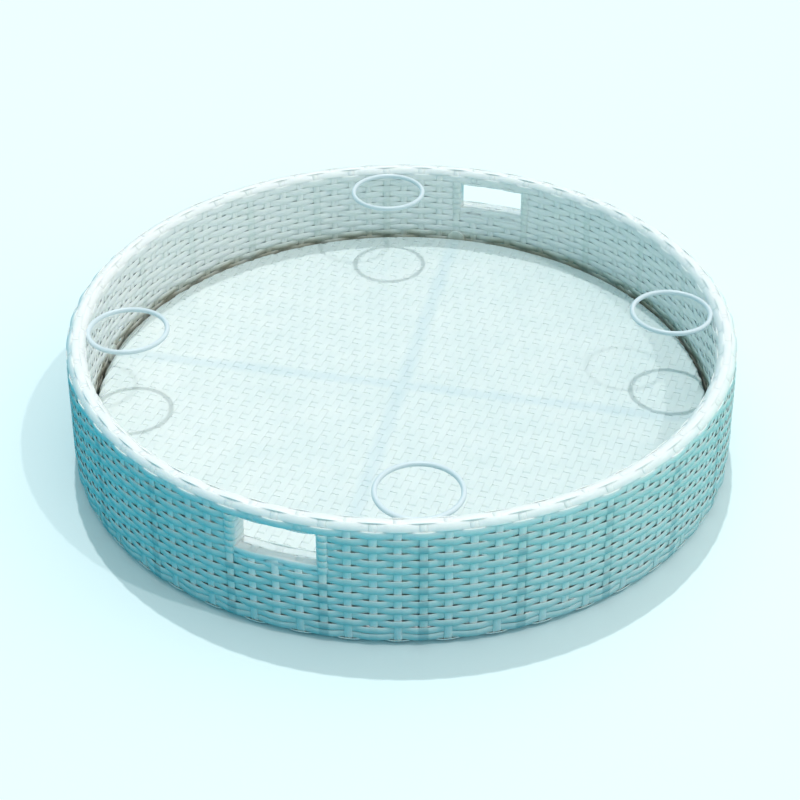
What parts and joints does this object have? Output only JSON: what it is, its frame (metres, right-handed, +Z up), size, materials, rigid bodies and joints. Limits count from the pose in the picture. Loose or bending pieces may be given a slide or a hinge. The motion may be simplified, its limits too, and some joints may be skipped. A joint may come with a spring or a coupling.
{
  "type": "floating pool tray",
  "caption": "Round floating tray woven from flat white strip, with wire rings for glasses at the rim and a hand opening at each end.",
  "frame": {"origin": "centre of the tray on the surface that it stands on", "axes": "+Z up, the front hand opening faces -Y and +X is to the right seen from the front"},
  "size_m": [0.8099, 0.81, 0.159],
  "materials": {
    "flat_strip": "satin flat polyethylene strip",
    "frame_tube": "mill finish tube",
    "ring_wire": "white powder coat",
    "foam": "closed cell foam"
  },
  "bodies": {
    "root": {"top_rail": "frame_tube", "base_rail": "frame_tube", "post_01": "frame_tube", "post_02": "frame_tube", "post_03": "frame_tube", "post_04": "frame_tube", "post_05": "frame_tube", "post_06": "frame_tube", "post_07": "frame_tube", "post_08": "frame_tube", "post_09": "frame_tube", "post_10": "frame_tube", "post_11": "frame_tube", "post_12": "frame_tube", "post_13": "frame_tube", "post_14": "frame_tube", "post_15": "frame_tube", "post_16": "frame_tube", "post_17": "frame_tube", "post_18": "frame_tube", "post_19": "frame_tube", "post_20": "frame_tube", "post_21": "frame_tube", "post_22": "frame_tube", "post_23": "frame_tube", "post_24": "frame_tube", "sill_bar_front": "frame_tube", "sill_bar_back": "frame_tube", "floor_rim": "frame_tube", "floor_bar_long": "frame_tube", "floor_bar_left": "frame_tube", "floor_bar_right": "frame_tube", "strap_long": "frame_tube", "strap_left": "frame_tube", "strap_right": "frame_tube", "foam_float": "foam", "glass_ring_back_right": "ring_wire", "glass_ring_back_left": "ring_wire", "glass_ring_front_left": "ring_wire", "glass_ring_front_right": "ring_wire", "outer_weave": "flat_strip", "inner_weave": "flat_strip", "rim_weave": "flat_strip", "base_weave": "flat_strip", "floor_weave": "flat_strip", "header_wrap_front": "flat_strip", "header_wrap_back": "flat_strip", "sill_wrap_front": "flat_strip", "sill_wrap_back": "flat_strip", "jamb_wrap_front_left": "flat_strip", "jamb_wrap_front_right": "flat_strip", "jamb_wrap_back_left": "flat_strip", "jamb_wrap_back_right": "flat_strip", "joint_wrap_1": "flat_strip", "joint_wrap_2": "flat_strip", "joint_wrap_3": "flat_strip", "joint_wrap_4": "flat_strip"}
  },
  "joints": []
}
